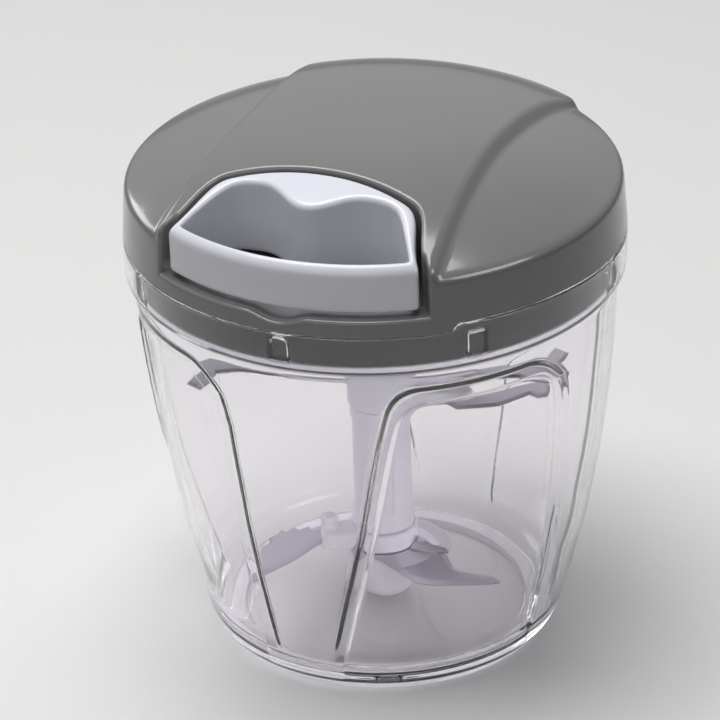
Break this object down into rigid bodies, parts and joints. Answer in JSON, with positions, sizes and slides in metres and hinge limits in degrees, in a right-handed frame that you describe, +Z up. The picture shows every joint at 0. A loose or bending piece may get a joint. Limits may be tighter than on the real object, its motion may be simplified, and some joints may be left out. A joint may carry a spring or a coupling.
{
  "type": "pull cord food chopper",
  "caption": "Clear bowl with a turning blade assembly and a domed lid; pulling the handle on its cord spins the blades through a reel and clutch.",
  "frame": {"origin": "on the surface the foot ring stands on, on the turning axis of the blades", "axes": "+Z up along the turning axis; the pull handle is at -Y, and +X is to its right seen from the handle's side"},
  "size_m": [0.132, 0.132, 0.147],
  "materials": {
    "clear_plastic": "clear moulded plastic, smooth",
    "soft_ring": "soft translucent white",
    "pin_steel": "plain steel",
    "shaft_plastic": "satin white",
    "blade_steel": "ground steel",
    "lid_plastic": "glossy grey",
    "base_plastic": "satin dark grey",
    "reel_plastic": "natural moulded",
    "handle_plastic": "satin white",
    "cord_fibre": "braided white"
  },
  "bodies": {
    "bowl": {"bowl": "clear_plastic", "foot_ring": "soft_ring", "pivot_pin": "pin_steel"},
    "blades": {"blade_shaft": "shaft_plastic", "shaft_foot": "shaft_plastic", "upper_blade_carrier": "shaft_plastic", "lower_blade_carrier": "shaft_plastic", "upper_blade_right": "blade_steel", "upper_blade_left": "blade_steel", "middle_blade": "blade_steel", "lower_blade_serrated": "blade_steel", "lower_blade_sickle": "blade_steel", "lower_blade_rear": "blade_steel"},
    "lid": {"lid_cover": "lid_plastic", "lid_base": "base_plastic", "lid_seal": "soft_ring", "cord_guide": "pin_steel", "spool_axle": "pin_steel", "drive_bush": "reel_plastic", "cord_run": "cord_fibre", "cord_lead": "cord_fibre", "lid_screw_1": "pin_steel", "lid_screw_2": "pin_steel", "lid_screw_3": "pin_steel", "lid_screw_4": "pin_steel"},
    "spool": {"cord_spool": "reel_plastic", "spool_cap": "reel_plastic", "cord_winding": "cord_fibre", "recoil_spring": "pin_steel", "clutch_star": "shaft_plastic"},
    "drive": {"drive_socket": "shaft_plastic", "ratchet_ring": "reel_plastic"},
    "handle": {"pull_handle": "handle_plastic", "handle_plug": "handle_plastic", "cord_knot": "cord_fibre"}
  },
  "joints": [
    {"name": "lid_lift", "type": "slide", "parent": "bowl", "child": "lid", "axis": [0, 0, 1], "range_m": [0, 0.06]},
    {"name": "handle_pull", "type": "slide", "parent": "lid", "child": "handle", "axis": [0, -1, 0], "range_m": [0, 0.3], "stiffness_N_per_m": 15, "springref_m": -0.1, "deforming": ["cord_lead"]},
    {"name": "spool_spin", "type": "hinge", "parent": "lid", "child": "spool", "pos_m": [0, 0, 0.13], "axis": [0, 0, 1], "range_deg": [-966, 0]},
    {"name": "drive_spin", "type": "hinge", "parent": "lid", "child": "drive", "pos_m": [0, 0, 0.11], "axis": [0, 0, 1], "range_deg": [-966, 0]},
    {"name": "blade_spin", "type": "hinge", "parent": "bowl", "child": "blades", "pos_m": [0, 0, 0.015], "axis": [0, 0, 1], "range_deg": [-966, 0]}
  ],
  "couplings": [
    {"joint": "spool_spin", "follows": "handle_pull", "rad_per_m": -56.18},
    {"joint": "drive_spin", "follows": "handle_pull", "rad_per_m": -56.18},
    {"joint": "blade_spin", "follows": "handle_pull", "rad_per_m": -56.18}
  ]
}
